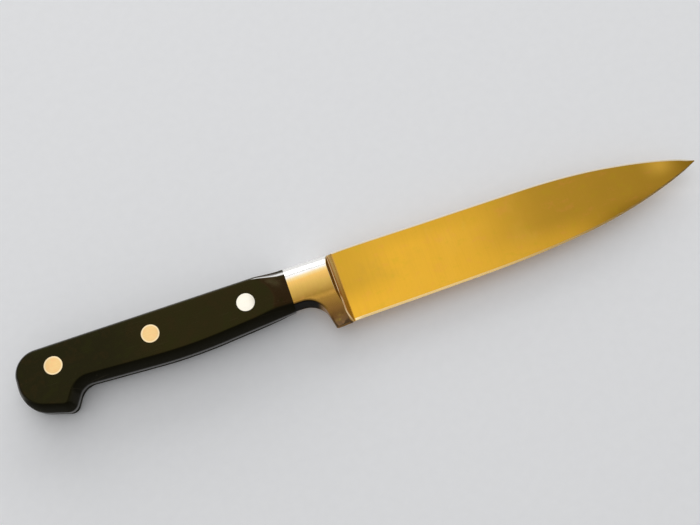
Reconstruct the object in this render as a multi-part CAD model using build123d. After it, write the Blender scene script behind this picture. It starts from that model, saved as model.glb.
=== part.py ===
from build123d import *
import math
import os

# A forged full-tang paring knife, lying on the flat of its left handle scale.
# It is drawn about one datum: X = 0 is the joint between bolster and scales, Y = 0 is the
# line of the rivets, and Z = 0 is the middle plane of the steel. X runs to the tip and Y to
# the spine. Tables of shares are fractions of the named size that each comment gives.

# Blade
blade_length = 126.9
blade_height = 24.3
blade_thickness = 2.2
edge_below_rivets = 15.3
shoulder_thickness = 0.45
bevel_height = 0.75

# Along the blade from the bolster, as shares of the blade's length, then the spine's and the
# edge's height over the heel's edge, as shares of the blade's height, then the shares of the
# spine's thickness and of the cutting bevel that are left there.
blade_station_shares = [
    (-0.030, 0.957, 0.000, 1.00, 1.00),
    (0.000, 0.971, 0.000, 1.00, 1.00),
    (0.030, 0.986, 0.005, 0.98, 1.00),
    (0.100, 0.992, 0.012, 0.95, 1.00),
    (0.250, 0.994, 0.027, 0.88, 1.00),
    (0.450, 1.001, 0.057, 0.77, 0.95),
    (0.600, 1.000, 0.113, 0.66, 0.90),
    (0.720, 0.962, 0.195, 0.55, 0.85),
    (0.820, 0.890, 0.306, 0.45, 0.80),
    (0.900, 0.807, 0.426, 0.36, 0.75),
    (0.960, 0.721, 0.535, 0.25, 0.60),
    (1.000, 0.638, 0.627, 0.09, 0.12),
]

# Bolster and finger guard. The bolster's front drops steeply to a ridge, and a hollow curve
# leads on from there to the blade.
bolster_length = 15.1
bolster_thickness = 10.0
bolster_top_round = 4.7
front_lean = 0.2
front_slope_angle = 30.0
ridge_above_middle = 2.8
plunge_run = 2.0
plunge_sink = 0.03
neck_below_rivets = 5.1
shoulder_below_rivets = 2.0
guard_below_rivets = 15.6
guard_thickness = 2.2
guard_foot_length = 4.4
guard_foot_round = 0.4
guard_rear_lean = 2.3
guard_radius = 7.0
guard_edge_radius = 0.8

# Handle: the outline of the full tang, which the scales follow
scale_length = 89.5
grip_height = 17.3
spine_above_rivets = 8.3
handle_thickness = 14.0
side_inset = 2.0
butt_top_radius = 8.3
butt_foot_radius = 9.9
hook_tip_radius = 3.0
hook_throat_radius = 5.3
belly_radius = 160.0
tang_thickness = 2.4

# Corners of the handle before rounding: shares of the scales' length back from the joint, and
# of the grip's height down from the spine's front end. The first two give the spine's line,
# and the last two give the belly's front line.
handle_corner_shares = [
    (0.000, 0.000),
    (1.000, 0.030),
    (1.000, 1.071),
    (0.834, 1.338),
    (0.786, 0.909),
    (0.392, 1.021),
    (0.000, 0.849),
]

# Angles of the quarter ellipse that rounds a scale from the tang's face up to its flat
side_round_angles = [25.0, 45.0, 62.0, 77.0, 90.0]

# Front end of the scales, which thins to the bolster's thickness
nose_length = 20.0
nose_foot_below_rivets = 6.4
nose_foot_round = 3.4

# Sections of the nose behind the joint: shares of the nose's length, of half the handle's
# thickness, of the spine's height and its rounding over the rivets, and of the grip's height
# for the foot below the rivets and its rounding.
nose_section_shares = [
    (0.27, 1.000, 1.03, 0.82, 0.430, 0.285),
    (0.58, 1.125, 1.12, 0.84, 0.500, 0.325),
    (1.00, 1.250, 1.30, 0.75, 0.600, 0.300),
]

# Rivets: a sleeve with a head from the left, and a post with a head from the right
front_rivet_setback = 14.3
rear_rivet_inset = 13.0
rivet_names = ["front", "middle", "rear"]
rivet_head_diameter = 6.0
rivet_head_depth = 1.5
sleeve_diameter = 4.0
post_diameter = 2.6
post_end_gap = 0.4
sleeve_end_gap = 0.4
head_clearance = 0.02
shank_clearance = 0.05
press_clearance = 0.01

cut_overrun = 5.0

half_handle = handle_thickness / 2
half_tang = tang_thickness / 2
half_bolster = bolster_thickness / 2


def meeting_point(side_a, side_b):
    """Where two lines in the middle plane cross, each given as a point and a direction."""
    (point_a, along_a), (point_b, along_b) = side_a, side_b
    turn = along_a.X * along_b.Y - along_a.Y * along_b.X
    gap = point_b - point_a
    return point_a + along_a * ((gap.X * along_b.Y - gap.Y * along_b.X) / turn)


def handle_face(inset, height):
    """The handle's outline as a face, cut off at the joint and drawn in on every other side."""
    points = [
        Vector(-back * scale_length, spine_above_rivets - down * grip_height)
        for back, down in handle_corner_shares
    ]
    sides = []
    for start, end in zip(points, points[1:]):
        along = (end - start).normalized()
        inward = Vector(-along.Y, along.X)
        sides.append((start + inward * inset, along))
    front_side = (Vector(0, 0), Vector(0, 1))
    chain = [front_side, *sides, front_side]
    corners = [meeting_point(a, b) for a, b in zip(chain, chain[1:])]
    radii = [
        butt_top_radius - inset,
        butt_foot_radius - inset,
        hook_tip_radius - inset,
        hook_throat_radius + inset,
        belly_radius - inset,
    ]
    outline = FilletPolyline(*corners, radius=radii)
    face = make_face([*outline.edges(), Line(corners[-1], corners[0])])
    return face.moved(Location((0, 0, height)))


def cross_section(x, half_width, top, top_round, foot, foot_round):
    """A face across the handle at x: two half ellipses, joined by straight sides."""
    top_centre = top - top_round
    foot_centre = foot + foot_round
    side = Line((top_centre, half_width), (foot_centre, half_width))
    top_arc = EllipticalCenterArc((top_centre, 0), top_round, half_width, -90, arc_size=180)
    foot_arc = EllipticalCenterArc((foot_centre, 0), foot_round, half_width, 90, arc_size=180)
    outline = make_face([top_arc, side, foot_arc, mirror(side, Plane.XZ)])
    return Plane.YZ.offset(x) * outline


def blade_section(station):
    """One section of the blade: spine, two flat sides and the two cutting bevels."""
    along, spine, edge, thickness, bevel = station
    spine_y = spine * blade_height - edge_below_rivets
    edge_y = edge * blade_height - edge_below_rivets
    shoulder_y = edge_y + bevel * bevel_height
    half_spine = thickness * blade_thickness / 2
    half_shoulder = min(bevel, thickness) * shoulder_thickness / 2
    corners = [
        (spine_y, half_spine),
        (shoulder_y, half_shoulder),
        (edge_y, 0),
        (shoulder_y, -half_shoulder),
        (spine_y, -half_spine),
    ]
    x = bolster_length + along * blade_length
    return Plane.YZ.offset(x) * make_face(Polyline(*corners, close=True))


def bolster_section():
    """A face across the bolster: a round top, straight sides, then a curve to the thin guard."""
    top_centre = spine_above_rivets - bolster_top_round
    half_guard = guard_thickness / 2
    ease = (guard_below_rivets - shoulder_below_rivets) / 2
    top_arc = EllipticalCenterArc(
        (top_centre, 0), bolster_top_round, half_bolster, -90, arc_size=180
    )
    side = Line((top_centre, half_bolster), (-shoulder_below_rivets, half_bolster))
    waist = Bezier(
        (-shoulder_below_rivets, half_bolster),
        (-shoulder_below_rivets - ease, half_bolster),
        (-guard_below_rivets + ease, half_guard),
        (-guard_below_rivets, half_guard),
    )
    foot = Line((-guard_below_rivets, half_guard), (-guard_below_rivets, -half_guard))
    half = [side, waist]
    outline = make_face([top_arc, *half, foot, *[mirror(edge, Plane.XZ) for edge in half]])
    return Plane.YZ * outline


def front_profile(height, front, blade_side):
    """Half the bolster's front at one height: steep to the ridge, then hollow to the blade."""
    rear = -cut_overrun
    crest = half_bolster + cut_overrun
    steep_run = (crest - ridge_above_middle) * math.tan(math.radians(front_slope_angle))
    reach = front + plunge_run
    steep = Polyline(
        (reach, 0), (rear, 0), (rear, crest), (front - steep_run, crest), (front, ridge_above_middle)
    )
    hollow = EllipticalCenterArc(
        (reach, ridge_above_middle), plunge_run, ridge_above_middle - blade_side, 180, arc_size=90
    )
    closing = Line((reach, blade_side), (reach, 0))
    return Plane.XZ.offset(-height) * make_face([*steep.edges(), hollow, closing])


def bolster_front():
    """The form that the bolster keeps ahead of the finger hollow, on both sides of the blade."""
    top_side = blade_thickness / 2 - plunge_sink
    foot_side = shoulder_thickness / 2 - plunge_sink
    top = front_profile(spine_above_rivets, bolster_length - front_lean, top_side)
    foot = front_profile(-guard_below_rivets, bolster_length, foot_side)
    side = loft([top, foot], ruled=True)
    return side + mirror(side, Plane.XY)


def bolster():
    """The bolster with its hollow for the finger, its guard and its front."""
    rear_foot = bolster_length - guard_foot_length
    reach = bolster_length + plunge_run
    corner = (rear_foot - guard_rear_lean, -neck_below_rivets)
    outline = FilletPolyline(
        (0, -neck_below_rivets), corner, (rear_foot, -guard_below_rivets), radius=[guard_radius]
    )
    closing = Polyline(
        (rear_foot, -guard_below_rivets),
        (reach, -guard_below_rivets),
        (reach, spine_above_rivets),
        (0, spine_above_rivets),
        (0, -neck_below_rivets),
    )
    profile = make_face([*outline.edges(), *closing.edges()])
    block = extrude(profile, half_bolster + cut_overrun, both=True)
    body = extrude(bolster_section(), reach) & block & bolster_front()
    rear_edges = [
        edge
        for edge in body.edges()
        if edge.center().Y < -neck_below_rivets / 2
        and edge.center().X < rear_foot
        and abs(edge.center().Z) > guard_thickness / 4
    ]
    body = fillet(rear_edges, guard_edge_radius)
    foot_edges = [
        edge
        for edge in body.edges()
        if edge.center().Y < guard_foot_round - guard_below_rivets
        and rear_foot + guard_edge_radius < edge.center().X < bolster_length
        and abs(edge.center().Z) > guard_thickness / 4
    ]
    return fillet(foot_edges, guard_foot_round)


def rivet_places():
    """The middle of each rivet, evenly spaced from the bolster back to the butt."""
    run = scale_length - front_rivet_setback - rear_rivet_inset
    spacing = run / (len(rivet_names) - 1)
    return [
        (name, Location((-front_rivet_setback - order * spacing, 0, 0)))
        for order, name in enumerate(rivet_names)
    ]


def rod(radius, low, high):
    """A round rod about the rivet's line, from one height to another."""
    return extrude(Plane.XY.offset(low) * Circle(radius), high - low)


def at_rivets(shape):
    """The same shape at every rivet."""
    return [place * shape for _, place in rivet_places()]


def tang():
    """The full tang, flush with the scales' widest outline, with a hole for each sleeve."""
    plate = extrude(handle_face(0, -half_tang), tang_thickness)
    hole = rod(sleeve_diameter / 2 + shank_clearance, -half_handle, half_handle)
    return plate - at_rivets(hole)


def forged_blade():
    """Blade, bolster, guard and tang as the one forging."""
    blade = loft([blade_section(station) for station in blade_station_shares])
    return blade + bolster() + tang()


def nose_cutter():
    """What the front end of a scale loses where it thins to the bolster."""
    sections = [
        cross_section(
            0,
            half_bolster,
            spine_above_rivets,
            bolster_top_round,
            -nose_foot_below_rivets,
            nose_foot_round,
        )
    ]
    for back, width, top, top_round, foot, foot_round in nose_section_shares:
        sections.append(
            cross_section(
                -back * nose_length,
                width * half_handle,
                top * spine_above_rivets,
                top_round * spine_above_rivets,
                -foot * grip_height,
                foot_round * grip_height,
            )
        )
    kept = loft(sections[::-1])
    block = Box(
        nose_length,
        2 * grip_height,
        2 * handle_thickness,
        align=(Align.MAX, Align.CENTER, Align.CENTER),
    )
    return block - kept


def right_scale():
    """The upper handle half: a flat face, round sides, a thinned nose and three bores."""
    levels = [math.degrees(math.asin(half_tang / half_handle)), *side_round_angles]
    layers = []
    for angle in levels:
        turn = math.radians(angle)
        inset = side_inset * (1 - math.cos(turn))
        layers.append(handle_face(inset, half_handle * math.sin(turn)))
    body = loft(layers) - nose_cutter()
    shank = rod(sleeve_diameter / 2 + shank_clearance, 0, half_handle)
    head = rod(
        rivet_head_diameter / 2 + head_clearance, half_handle - rivet_head_depth, handle_thickness
    )
    return body - at_rivets(shank + head)


def rivet_sleeve():
    """The lower half of a rivet: a head, and a tube through the scales and the tang."""
    head_top = rivet_head_depth - half_handle
    tube_top = half_handle - rivet_head_depth - sleeve_end_gap
    head = rod(rivet_head_diameter / 2, -half_handle, head_top)
    tube = rod(sleeve_diameter / 2, head_top, tube_top)
    bore = rod(post_diameter / 2 + press_clearance, head_top, tube_top)
    return head + tube - bore


def rivet_post():
    """The upper half of a rivet: a head, and a post that is pressed into the sleeve's bore."""
    head_foot = half_handle - rivet_head_depth
    post_foot = rivet_head_depth - half_handle + post_end_gap
    head = rod(rivet_head_diameter / 2, head_foot, half_handle)
    return head + rod(post_diameter / 2, post_foot, head_foot)


scale = right_scale()
pieces = {
    "forged_blade": forged_blade(),
    "right_scale": scale,
    "left_scale": mirror(scale, Plane.XY),
}
for name, place in rivet_places():
    pieces[f"{name}_rivet_sleeve"] = place * rivet_sleeve()
    pieces[f"{name}_rivet_post"] = place * rivet_post()

# The origin goes under the middle of the whole knife, level with the face that it lies on.
boxes = [piece.bounding_box() for piece in pieces.values()]
low = [min(tuple(box.min)[axis] for box in boxes) for axis in range(3)]
high = [max(tuple(box.max)[axis] for box in boxes) for axis in range(3)]
to_origin = Location((-(low[0] + high[0]) / 2, -(low[1] + high[1]) / 2, -low[2]))
print("datum moved by", to_origin.position)

os.makedirs("parts", exist_ok=True)
for name, piece in pieces.items():
    export_step(to_origin * piece, f"parts/{name}.step")
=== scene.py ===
import math

import bmesh
import bpy
from mathutils import Euler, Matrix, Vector
from mathutils.geometry import delaunay_2d_cdt


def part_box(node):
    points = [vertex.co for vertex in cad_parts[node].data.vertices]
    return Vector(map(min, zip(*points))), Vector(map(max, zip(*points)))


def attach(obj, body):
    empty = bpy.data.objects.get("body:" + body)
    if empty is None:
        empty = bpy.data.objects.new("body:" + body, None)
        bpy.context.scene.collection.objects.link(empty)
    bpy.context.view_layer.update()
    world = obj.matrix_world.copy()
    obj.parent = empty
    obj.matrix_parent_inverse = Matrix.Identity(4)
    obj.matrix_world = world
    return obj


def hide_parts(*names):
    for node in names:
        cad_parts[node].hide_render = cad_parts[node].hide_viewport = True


# The dressed paring knife. Its pieces are drawn in millimetres about one datum: x = 0 is the
# joint between bolster and scales, y = 0 the line of the rivets, z = 0 the steel's middle plane.
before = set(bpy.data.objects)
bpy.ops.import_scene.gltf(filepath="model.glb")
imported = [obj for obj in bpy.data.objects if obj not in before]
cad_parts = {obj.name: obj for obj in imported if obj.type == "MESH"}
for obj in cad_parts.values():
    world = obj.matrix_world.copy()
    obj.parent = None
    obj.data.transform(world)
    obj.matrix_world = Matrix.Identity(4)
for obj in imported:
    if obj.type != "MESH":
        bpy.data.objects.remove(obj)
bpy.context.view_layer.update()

MM = 0.001
rivet_low, rivet_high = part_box("front_rivet_post")
scale_low, scale_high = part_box("right_scale")
left_low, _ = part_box("left_scale")
steel_low, steel_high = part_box("forged_blade")
datum = Vector((scale_high.x, (rivet_low.y + rivet_high.y) / 2, (scale_high.z + left_low.z) / 2))

# Handle, in millimetres
handle_half = (scale_high.z - left_low.z) / 2 / MM
scale_length = (datum.x - steel_low.x) / MM
grip_height = 17.3
spine_rise = (scale_high.y - datum.y) / MM
tang_half = (scale_low.z - datum.z) / MM
butt_top_radius = 8.3
butt_foot_radius = 9.9
hook_tip_radius = 3.0
hook_throat_radius = 5.3
belly_radius = 160.0
# Corners of the handle before rounding, as shares of its length back and its height down
handle_corner_shares = [
    (0.000, 0.000),
    (1.000, 0.030),
    (1.000, 1.071),
    (0.834, 1.338),
    (0.786, 0.909),
    (0.392, 1.021),
    (0.000, 0.849),
]
side_inset_spine = 1.85
side_inset_belly = 2.15
nose_inset_spine = 3.8
nose_inset_belly = 3.2
nose_length_spine = 11.5
nose_length_belly = 14.0
nose_ramp = 5.4
nose_crown = 0.083
nose_middle = -0.5
nose_steepness = 1.35
nose_softness = 0.10

# Rivets
rivet_setbacks = {
    name: (datum.x - sum(point.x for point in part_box(f"{name}_rivet_post")) / 2) / MM
    for name in ("front", "middle", "rear")
}
rivet_head_radius = (rivet_high.x - rivet_low.x) / 2 / MM
rivet_head_depth = 1.5
rivet_rim = 0.10
sleeve_radius = 2.0
post_radius = 1.3
head_room = 0.02
shank_room = 0.05
press_room = 0.01
head_bore = rivet_head_radius + head_room
shank_bore = sleeve_radius + shank_room
blind_gap = 0.4
# Where a head's rim and the tang's edge bend half-way round, as a share of the rounding
rim_bend_share = 0.3

# Bolster, guard and plunge
bolster_length = 15.1
bolster_half = 5.0
bolster_top_round = 4.7
front_lean = 0.2
front_slope_angle = 30.0
ridge_half = 2.8
ridge_land = 0.2
ridge_rise = 0.05
front_reach = 1.0
front_gap = 0.35
plunge_run = 2.0
plunge_fade = 1.5
plunge_sink = 0.03
edge_ease = 0.22
lower_edge_ease = 0.7
lower_ease_start = -6.0
lower_ease_run = 3.0
neck_drop = 5.1
shoulder_drop = 2.0
guard_drop = 15.6
guard_half = 1.1
guard_foot_length = 4.4
guard_foot_round = 0.4
guard_front_round = 2.6
guard_front_start = 12.6
guard_rear_lean = 2.3
guard_radius = 7.0
guard_edge_radius = 0.8
foot_step_start = 0.3
foot_step_run = 1.8

# Blade
blade_length = (steel_high.x - datum.x) / MM - bolster_length
blade_height = 24.3
edge_drop = 15.3
spine_half = 1.1
spine_ease = 0.3
spine_ease_height = 0.5
spine_ease_share = 0.2
shoulder_half = 0.225
edge_half = 0.015
edge_lag = 3.0
bevel_height = 0.75
# Along the blade, the heights of spine and edge over the heel's edge, then what is left of the
# spine's thickness and of the cutting bevel
blade_station_shares = [
    (-0.030, 0.957, 0.000, 1.00, 1.00),
    (0.000, 0.971, 0.000, 1.00, 1.00),
    (0.030, 0.986, 0.005, 0.98, 1.00),
    (0.100, 0.992, 0.012, 0.95, 1.00),
    (0.250, 0.994, 0.027, 0.88, 1.00),
    (0.450, 1.001, 0.057, 0.77, 0.95),
    (0.600, 1.000, 0.113, 0.66, 0.90),
    (0.720, 0.962, 0.195, 0.55, 0.85),
    (0.820, 0.890, 0.306, 0.45, 0.80),
    (0.900, 0.807, 0.426, 0.36, 0.75),
    (0.960, 0.721, 0.535, 0.25, 0.60),
    (1.000, 0.638, 0.627, 0.09, 0.12),
]

# Tang
tang_round = 0.12
tang_embed = 0.05

# How finely the pieces are drawn: in steps, or in millimetres from point to point
handle_corner_steps = [30, 30, 18, 22, 30]
outline_spacing = 0.8
face_spacing = 1.1
clear_share = 0.6
bore_facets = 48
rivet_facets = 64
scale_side_steps = 14
scale_front_steps = 14
neck_spacing = 0.45
hollow_steps = 22
guard_steps = 16
lower_steps = 8
gap_shares = (0.25, 0.5, 0.7, 0.85, 1.0)
slope_shares = (0.04, 0.1, 0.18, 0.28, 0.4, 0.55, 0.7, 0.82, 0.91, 1.0)
land_shares = (0.15, 0.35, 0.6, 0.85, 1.0)
plunge_steps = 24
blade_steps = 120
blade_crowding = 0.12
lean_run = 12.0
settling_rounds = 6
side_halvings = 24
crown_rows, side_rows, foot_rows = 14, 60, 9
weld_distance = 0.0005
sliver_length = 0.0002
crease_angle = 32.0
# Points that lie this near to a border count as on it, and points on a rim are told apart by
# this many decimals
border_reach = 0.01
rim_decimals = 4

# The forging's finishes in the order that its piece carries them
ground, bevelled, polished, brushed, shaped = range(5)

# The stations that follow the bolster's front count as this far ahead of the heel, in turn
behind_front, near_front, on_slope, on_land = -1.0, -0.5, -0.3, -0.1


def smooth_step(share):
    """A soft ramp from 0 to 1."""
    share = min(1.0, max(0.0, share))
    return share * share * (3 - 2 * share)


def blend(low, high, share):
    """The value that lies share of the way from low to high."""
    return low + (high - low) * share


def quarter(share):
    """What a quarter circle has lost at that share of its radius: 1 at 0, and 0 at 1."""
    share = min(1.0, max(0.0, share))
    return 1 - math.sqrt(1 - (1 - share) ** 2)


def follow(rows, x, column):
    """A column of the table at x, on a smooth curve through its rows."""
    x = min(rows[-1][0], max(rows[0][0], x))
    index = max(i for i, row in enumerate(rows[:-1]) if row[0] <= x)
    before, low, high, after = (
        rows[min(len(rows) - 1, max(0, index + shift))] for shift in (-1, 0, 1, 2)
    )
    span = high[0] - low[0]
    share = (x - low[0]) / span

    def slope(first, second):
        run = second[0] - first[0]
        return (second[column] - first[column]) / run if run else 0.0

    start = slope(before, high) * span
    end = slope(low, after) * span
    square, cube = share**2, share**3
    return (
        (2 * cube - 3 * square + 1) * low[column]
        + (cube - 2 * square + share) * start
        + (3 * square - 2 * cube) * high[column]
        + (cube - square) * end
    )


def make_piece(name, points, faces, finishes, nodes):
    """A piece from points in millimetres and faces, each with the number of its finish."""
    work = bmesh.new()
    spots = [work.verts.new(datum + Vector(point) * MM) for point in points]
    for face, number in faces:
        corners = list(dict.fromkeys(face))
        if len(corners) > 2:
            made = work.faces.new([spots[i] for i in corners])
            made.material_index = number
    bmesh.ops.remove_doubles(work, verts=work.verts, dist=weld_distance * MM)
    bmesh.ops.dissolve_degenerate(work, edges=work.edges, dist=sliver_length * MM)
    bmesh.ops.recalc_face_normals(work, faces=work.faces)
    for face in work.faces:
        face.smooth = True
    limit = math.radians(crease_angle)
    for edge in work.edges:
        edge.smooth = len(edge.link_faces) == 2 and edge.calc_face_angle(0) < limit
    mesh = bpy.data.meshes.new(name)
    work.to_mesh(mesh)
    work.free()
    piece = bpy.data.objects.new(name, mesh)
    bpy.context.scene.collection.objects.link(piece)
    for finish in finishes:
        mesh.materials.append(finish)
    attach(piece, "root")
    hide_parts(*nodes)


def ring_faces(rings, closed=True):
    """Faces between rings of point numbers, each ring as long as the next."""
    faces = []
    for lower, upper in zip(rings, rings[1:]):
        count = len(lower)
        for here in range(count if closed else count - 1):
            after = (here + 1) % count
            faces.append(((lower[here], lower[after], upper[after], upper[here]), 0))
    return faces


def corner_arc(corner, radius, count, before, after):
    """A rounded corner between two straight ways, as points with their moves for an inset."""
    side = 1.0 if before.cross(after) > 0 else -1.0
    half_turn = before.angle(after) / 2
    reach = radius * math.tan(half_turn)
    inward = Vector((-before.y, before.x)) * side
    centre = corner - before * reach + inward * radius
    arc = []
    for step in range(count + 1):
        angle = side * 2 * half_turn * step / count
        outward = -inward
        spoke = Vector(
            (
                outward.x * math.cos(angle) - outward.y * math.sin(angle),
                outward.x * math.sin(angle) + outward.y * math.cos(angle),
            )
        )
        arc.append((centre + spoke * radius, -spoke * side))
    return arc


def handle_chain():
    """The handle's outline from the spine's front end round the butt to the belly's front end.

    Each point comes with the way that it moves for one millimetre of inset.
    """
    corners = [
        Vector((-back * scale_length, spine_rise - down * grip_height))
        for back, down in handle_corner_shares
    ]
    radii = [butt_top_radius, butt_foot_radius, hook_tip_radius, hook_throat_radius, belly_radius]
    ways = [(end - start).normalized() for start, end in zip(corners, corners[1:])]
    arcs = [
        corner_arc(*bend) for bend in zip(corners[1:], radii, handle_corner_steps, ways, ways[1:])
    ]
    chain = []
    first_inward = Vector((-ways[0].y, ways[0].x))
    last_inward = Vector((-ways[-1].y, ways[-1].x))
    ends = [
        (corners[0], Vector((0.0, 1 / first_inward.y))),
        (corners[-1], Vector((0.0, 1 / last_inward.y))),
    ]
    stops = [[ends[0]], *arcs, [ends[1]]]
    for first, second in zip(stops, stops[1:]):
        chain += first[:-1] if len(first) > 1 else []
        (start, start_move), (end, end_move) = first[-1], second[0]
        count = max(1, round((end - start).length / outline_spacing))
        for step in range(count):
            share = step / count
            chain.append((start.lerp(end, share), start_move.lerp(end_move, share)))
    chain.append(ends[1])
    return chain


def nose_height(x, y):
    """The height of a scale's face over the middle plane: it sinks to the bolster at its front."""
    back = -x
    crown = nose_crown * (y - nose_middle) ** 2 * min(1.0, back / (nose_ramp / 2))
    run = (back - crown) / nose_ramp
    easing = nose_steepness - 1
    ramp = run * (nose_steepness - easing * run) if run < 1 else 1 + (1 - easing) * (run - 1)
    gap = handle_half - blend(bolster_half, handle_half, ramp)
    sunk = (gap + math.sqrt(gap**2 + nose_softness**2)) / 2
    return handle_half - sunk + nose_softness / 2 * math.exp(-abs(gap) / nose_softness)


def side_inset(x, inward):
    """How far the flat face lies inside the outline, beside the grip and beside the nose."""
    if inward.y < 0:
        nose = smooth_step(-x / nose_length_spine)
        return blend(nose_inset_spine, side_inset_spine, nose)
    nose = smooth_step(-x / nose_length_belly)
    share = (inward.normalized().y + 1) / 2
    return blend(nose_inset_belly, blend(side_inset_spine, side_inset_belly, share), nose)


def circle_points(centre_x, radius, count):
    """Points of a rivet's circle."""
    turn = 2 * math.pi / count
    return [
        (centre_x + radius * math.cos(turn * step), radius * math.sin(turn * step))
        for step in range(count)
    ]


def inside(point, outline):
    """Whether a point lies inside a closed outline."""
    crossings = 0
    for (x_a, y_a), (x_b, y_b) in zip(outline, outline[1:] + outline[:1]):
        if (y_a > point.y) != (y_b > point.y):
            reach = x_a + (point.y - y_a) / (y_b - y_a) * (x_b - x_a)
            crossings += point.x < reach
    return crossings % 2 == 1


def bore(points, setback, rims):
    """Adds a rivet bore's rims, each of a radius at a height, and gives the faces between."""
    rings = []
    for radius, height in rims:
        rings.append(range(len(points), len(points) + bore_facets))
        points += [(*spot, height) for spot in circle_points(-setback, radius, bore_facets)]
    return ring_faces(rings)


def bore_circles(radius):
    """The circles that all three rivets' bores leave in a face."""
    return [circle_points(-setback, radius, bore_facets) for setback in rivet_setbacks.values()]


def filled(outline, holes, spacing):
    """Points and triangles that fill an outline round its holes, with a grid of points inside."""
    points = [Vector(point[:2]) for point in outline]
    edges = [(i, (i + 1) % len(outline)) for i in range(len(outline))]
    for hole in holes:
        start = len(points)
        points += [Vector(point) for point in hole]
        edges += [(start + i, start + (i + 1) % len(hole)) for i in range(len(hole))]
    rim_count = len(points)
    low_x, high_x = min(p.x for p in points), max(p.x for p in points)
    low_y, high_y = min(p.y for p in points), max(p.y for p in points)
    if spacing:
        for column in range(1, int((high_x - low_x) / spacing)):
            for row in range(1, int((high_y - low_y) / spacing)):
                spot = Vector((low_x + column * spacing, low_y + row * spacing))
                near = min((spot - point).length for point in points[:rim_count])
                if near > spacing * clear_share:
                    points.append(spot)
    verts, _, triangles, _, _, _ = delaunay_2d_cdt(points, edges, [], 0, 1e-6)
    kept = []
    for triangle in triangles:
        middle = sum((verts[i] for i in triangle), Vector((0.0, 0.0))) / len(triangle)
        if inside(middle, outline) and not any(inside(middle, hole) for hole in holes):
            kept.append(triangle)
    return verts, kept


def rim_key(x, y):
    """What a point on a scale's rim is known by."""
    return round(x, rim_decimals), round(y, rim_decimals)


def scale_mesh():
    """Points and faces of the upper scale: rounded sides, a flat with three bores, a nose."""
    chain = handle_chain()
    points, faces, rings = [], [], []
    for level in range(scale_side_steps + 1):
        ring = []
        for spot, inward in chain:
            inset = side_inset(spot.x, inward)
            full = spot + inward * inset
            top = nose_height(full.x, full.y)
            start = math.asin(tang_half / top)
            angle = blend(start, math.pi / 2, level / scale_side_steps)
            drawn = inset * (1 - math.cos(angle))
            place = spot + inward * drawn
            ring.append(len(points))
            points.append((min(0.0, place.x), place.y, top * math.sin(angle)))
        rings.append(ring)
    faces += ring_faces(rings, closed=False)
    low_front, high_front = points[rings[-1][-1]], points[rings[-1][0]]
    front = []
    for step in range(1, scale_front_steps):
        y = blend(low_front[1], high_front[1], step / scale_front_steps)
        front.append(len(points))
        points.append((0.0, y, nose_height(0.0, y)))
    rim = [*rings[-1], *front]
    outline = [points[i][:2] for i in rim]
    base = [points[i][:2] for i in rings[0]]
    rim_heights = {rim_key(*points[i][:2]): points[i][2] for i in rim}

    def face_height(x, y):
        known = rim_heights.get(rim_key(x, y))
        return nose_height(x, y) if known is None else known

    seat = handle_half - rivet_head_depth
    for rims in (
        ((head_bore, seat), (head_bore, handle_half)),
        ((shank_bore, tang_half), (shank_bore, seat)),
        ((head_bore, seat), (shank_bore, seat)),
    ):
        for setback in rivet_setbacks.values():
            faces += bore(points, setback, rims)
    for edge, radius, spacing, height in (
        (outline, head_bore, face_spacing, face_height),
        (base, shank_bore, 0, lambda x, y: tang_half),
    ):
        verts, triangles = filled(edge, bore_circles(radius), spacing)
        start = len(points)
        points += [(vert.x, vert.y, height(vert.x, vert.y)) for vert in verts]
        faces += [(tuple(start + i for i in triangle), 0) for triangle in triangles]
    wall = [ring[0] for ring in rings] + front[::-1] + [ring[-1] for ring in reversed(rings)]
    faces.append((tuple(wall), 0))
    return points, faces


def mirrored(points):
    """The same points on the other side of the steel's middle plane."""
    return [(x, y, -z) for x, y, z in points]


def turned(profile, x):
    """Points and faces of a profile of radii and heights, turned about a rivet's own line."""
    points, rings = [], []
    for radius, height in profile:
        if radius:
            rings.append(range(len(points), len(points) + rivet_facets))
            points += [(*spot, height) for spot in circle_points(x, radius, rivet_facets)]
        else:
            rings.append([len(points)] * rivet_facets)
            points.append((x, 0.0, height))
    return points, ring_faces(rings)


def head_rim(side):
    """A rivet head's eased rim, from its face outward, on the upper side (1) or lower (-1)."""
    bend = rivet_rim * rim_bend_share
    return [
        (rivet_head_radius - inward, side * (handle_half - sunk))
        for inward, sunk in ((rivet_rim, 0.0), (bend, bend), (0.0, rivet_rim))
    ]


def sleeve_profile():
    """The lower half of a rivet: a head with a blind tube that reaches up through the tang."""
    head_top = rivet_head_depth - handle_half
    tube_top = handle_half - rivet_head_depth - blind_gap
    bore = post_radius + press_room
    return [
        (0.0, -handle_half),
        *head_rim(-1),
        (rivet_head_radius, head_top),
        (sleeve_radius, head_top),
        (sleeve_radius, tube_top),
        (bore, tube_top),
        (bore, head_top),
        (0.0, head_top),
    ]


def post_profile():
    """The upper half of a rivet: a head on the post that fills the sleeve's bore."""
    head_foot = handle_half - rivet_head_depth
    return [
        (0.0, handle_half),
        *head_rim(1),
        (rivet_head_radius, head_foot),
        (post_radius, head_foot),
        (post_radius, rivet_head_depth - handle_half + blind_gap),
        (0.0, rivet_head_depth - handle_half + blind_gap),
    ]


def down_share(y):
    """How far down the bolster's front a height lies: 0 at the top, and 1 at the foot."""
    return (spine_rise - y) / (spine_rise + guard_drop)


def ridge_line(y):
    """Where the ridge stands between the bolster's steep front and the hollow plunge."""
    return bolster_length - front_lean * (1 - down_share(y))


def plunge_floor(y):
    """The height over the middle plane at which the hollow plunge runs out on the blade."""
    return blend(spine_half, shoulder_half, down_share(y)) - plunge_sink


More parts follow.
